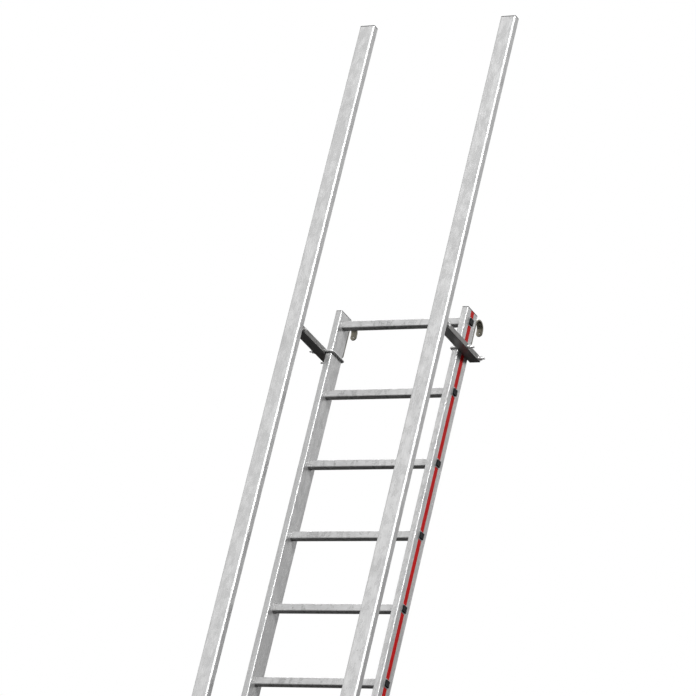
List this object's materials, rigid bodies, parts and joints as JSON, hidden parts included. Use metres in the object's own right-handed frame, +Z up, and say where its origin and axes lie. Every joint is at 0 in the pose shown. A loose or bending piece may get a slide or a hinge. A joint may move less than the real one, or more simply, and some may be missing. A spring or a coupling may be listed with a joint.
{
  "type": "extension ladder",
  "caption": "Aluminium rung ladder leaning on swivel feet, with tube hooks behind its top and long extension rails clamped in front of its stiles by brackets and U-bolts.",
  "frame": {"origin": "on the ground, below the middle of the object's bounding box", "axes": "+Z up, +X across the ladder to the climber's right, +Y the way the ladder leans, away from the climber"},
  "size_m": [0.6696, 1.7702, 4.1914],
  "materials": {
    "stile_alloy": "extruded, lightly brushed along its length",
    "rung_alloy": "extruded, grooved on top",
    "rail_alloy": "mill finish with fine die lines",
    "bracket_steel": "zinc plated, dull",
    "shoe_steel": "zinc plated, dull",
    "zinc_steel": "yellowed zinc plating",
    "fastener_steel": "bright zinc plating",
    "black_plastic": "moulded, satin",
    "red_strip": "coloured film in a groove, satin",
    "pad_rubber": "moulded, ribbed underneath"
  },
  "bodies": {
    "ladder": {"rung_01": "rung_alloy", "rung_02": "rung_alloy", "rung_03": "rung_alloy", "rung_04": "rung_alloy", "rung_05": "rung_alloy", "rung_06": "rung_alloy", "rung_07": "rung_alloy", "rung_08": "rung_alloy", "rung_09": "rung_alloy", "rung_10": "rung_alloy", "rung_11": "rung_alloy", "rung_12": "rung_alloy", "left_stile": "stile_alloy", "left_stile_cap": "black_plastic", "left_stripes": "red_strip", "left_rung_plugs": "black_plastic", "left_hook": "zinc_steel", "left_hook_bolts": "fastener_steel", "left_foot_bolt": "fastener_steel", "left_foot_sleeve": "fastener_steel", "right_stile": "stile_alloy", "right_stile_cap": "black_plastic", "right_stripes": "red_strip", "right_rung_plugs": "black_plastic", "right_hook": "zinc_steel", "right_hook_bolts": "fastener_steel", "right_foot_bolt": "fastener_steel", "right_foot_sleeve": "fastener_steel"},
    "left_rail_assembly": {"left_rail": "rail_alloy", "left_rail_top_cap": "black_plastic", "left_rail_bottom_cap": "black_plastic", "left_upper_bracket": "bracket_steel", "left_lower_bracket": "bracket_steel", "left_upper_lug": "bracket_steel", "left_lower_lug": "bracket_steel", "left_upper_ubolt": "fastener_steel", "left_lower_ubolt": "fastener_steel", "left_ubolt_nuts": "fastener_steel", "left_bracket_bolts": "fastener_steel", "left_lug_rivets": "fastener_steel"},
    "left_foot_assembly": {"left_foot_shoe": "shoe_steel", "left_foot_pad": "pad_rubber", "left_foot_rivets": "fastener_steel"},
    "right_rail_assembly": {"right_rail": "rail_alloy", "right_rail_top_cap": "black_plastic", "right_rail_bottom_cap": "black_plastic", "right_upper_bracket": "bracket_steel", "right_lower_bracket": "bracket_steel", "right_upper_lug": "bracket_steel", "right_lower_lug": "bracket_steel", "right_upper_ubolt": "fastener_steel", "right_lower_ubolt": "fastener_steel", "right_ubolt_nuts": "fastener_steel", "right_bracket_bolts": "fastener_steel", "right_lug_rivets": "fastener_steel"},
    "right_foot_assembly": {"right_foot_shoe": "shoe_steel", "right_foot_pad": "pad_rubber", "right_foot_rivets": "fastener_steel"}
  },
  "joints": [
    {"name": "left_rail_slide", "type": "slide", "parent": "ladder", "child": "left_rail_assembly", "axis": [0, 0.4321, 0.9018], "range_m": [-0.125, 0]},
    {"name": "right_rail_slide", "type": "slide", "parent": "ladder", "child": "right_rail_assembly", "axis": [0, 0.4321, 0.9018], "range_m": [-0.125, 0]},
    {"name": "left_foot_pivot", "type": "hinge", "parent": "ladder", "child": "left_foot_assembly", "pos_m": [-0.258, -0.82906, 0.072], "axis": [1, 0, 0], "range_deg": [-60, 35]},
    {"name": "right_foot_pivot", "type": "hinge", "parent": "ladder", "child": "right_foot_assembly", "pos_m": [0.258, -0.82906, 0.072], "axis": [1, 0, 0], "range_deg": [-60, 35]}
  ]
}
